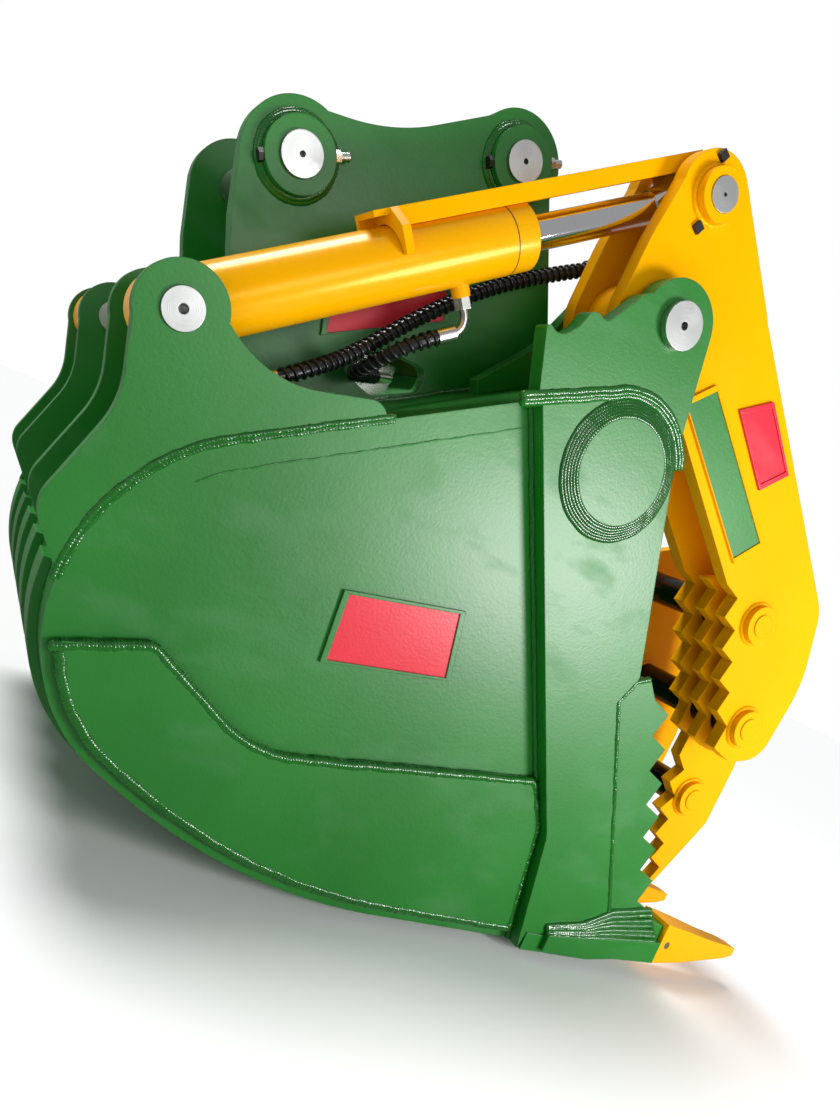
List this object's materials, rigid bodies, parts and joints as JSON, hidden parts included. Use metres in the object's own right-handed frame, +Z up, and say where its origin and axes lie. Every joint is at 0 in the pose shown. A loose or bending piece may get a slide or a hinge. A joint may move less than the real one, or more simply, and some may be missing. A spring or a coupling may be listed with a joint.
{
  "type": "excavator claw bucket",
  "caption": "Digging bucket with a hydraulic claw: toothed bucket shell, hitch plates with pins, serrated grab arms on a pivot and twin cylinders with guards.",
  "frame": {"origin": "on the flat underside of the middle wear strip, at mid width, straight below the claw pivot", "axes": "+X forward to the tooth tips, +Y across the bucket to the far side, +Z up"},
  "size_m": [1.485, 0.8184, 1.25],
  "materials": {
    "paint_green": "gloss",
    "paint_yellow": "gloss",
    "paint_black": "gloss",
    "steel": "turned, zinc plated where small",
    "rod_chrome": "ground and hard chromed",
    "hose_rubber": "matt"
  },
  "bodies": {
    "root": {"base_hoses": "hose_rubber", "bucket_teeth": "paint_yellow", "cheek_plate_far": "paint_green", "cheek_plate_near": "paint_green", "claw_pivot_pin_far": "steel", "claw_pivot_pin_near": "steel", "cutting_edge": "paint_green", "cylinder_base_pins": "steel", "cylinder_ear_inner_far": "paint_green", "cylinder_ear_inner_near": "paint_green", "cylinder_ear_outer_far": "paint_green", "cylinder_ear_outer_near": "paint_green", "hanger_braces": "paint_green", "hanger_plate_far": "paint_green", "hanger_plate_near": "paint_green", "heel_wear_strips": "paint_green", "hitch_bosses": "paint_green", "hitch_pin_front": "steel", "hitch_pin_rear": "steel", "hose_couplers": "steel", "hose_manifold": "steel", "inner_pivot_lug_far": "paint_green", "inner_pivot_lug_near": "paint_green", "pivot_lobe_far": "paint_green", "pivot_lobe_near": "paint_green", "rod_hoses": "hose_rubber", "side_cutter_far": "paint_green", "side_cutter_near": "paint_green", "side_plate_far": "paint_green", "side_plate_near": "paint_green", "side_wear_plate_far": "paint_green", "side_wear_plate_near": "paint_green", "tooth_adapters": "paint_green", "tooth_pins": "steel", "torque_tube": "paint_green", "wrapper_shell": "paint_green"},
    "claw": {"claw_arm_far": "paint_yellow", "claw_arm_near": "paint_yellow", "claw_cross_tubes": "paint_black", "claw_hub_far": "paint_yellow", "claw_hub_near": "paint_yellow", "claw_saw_plates": "paint_yellow", "claw_tine_far": "paint_yellow", "claw_tine_near": "paint_yellow", "claw_tines_middle": "paint_yellow", "cross_tube_bosses": "paint_yellow", "rod_pin_far": "steel", "rod_pin_near": "steel"},
    "barrel_near": {"cylinder_barrel_near": "paint_yellow", "cylinder_gland_near": "paint_yellow", "port_fittings_near": "steel"},
    "barrel_far": {"cylinder_barrel_far": "paint_yellow", "cylinder_gland_far": "paint_yellow", "port_fittings_far": "steel"},
    "rod_near": {"cylinder_piston_near": "steel", "cylinder_rod_near": "rod_chrome", "rod_guard_near": "paint_yellow"},
    "rod_far": {"cylinder_piston_far": "steel", "cylinder_rod_far": "rod_chrome", "rod_guard_far": "paint_yellow"}
  },
  "joints": [
    {"name": "claw_pivot", "type": "hinge", "parent": "root", "child": "claw", "pos_m": [0, 0, 0.987], "axis": [0, -1, 0], "range_deg": [0, 55]},
    {"name": "barrel_swing_near", "type": "hinge", "parent": "root", "child": "barrel_near", "pos_m": [-0.629, -0.3, 0.682], "axis": [0, -1, 0], "range_deg": [0, 4], "deforming": ["rod_hoses", "base_hoses"]},
    {"name": "rod_slide_near", "type": "slide", "parent": "barrel_near", "child": "rod_near", "axis": [0.7755, 0, 0.6314], "range_m": [-0.18, 0]},
    {"name": "barrel_swing_far", "type": "hinge", "parent": "root", "child": "barrel_far", "pos_m": [-0.629, 0.3, 0.682], "axis": [0, -1, 0], "range_deg": [0, 4], "deforming": ["rod_hoses", "base_hoses"]},
    {"name": "rod_slide_far", "type": "slide", "parent": "barrel_far", "child": "rod_far", "axis": [0.7755, 0, 0.6314], "range_m": [-0.18, 0]}
  ],
  "couplings": [
    {"joint": "barrel_swing_near", "follows": "claw_pivot", "ratio": 0.069554},
    {"joint": "rod_slide_near", "follows": "claw_pivot", "m_per_rad": -0.18604},
    {"joint": "barrel_swing_far", "follows": "claw_pivot", "ratio": 0.069554},
    {"joint": "rod_slide_far", "follows": "claw_pivot", "m_per_rad": -0.18604}
  ]
}
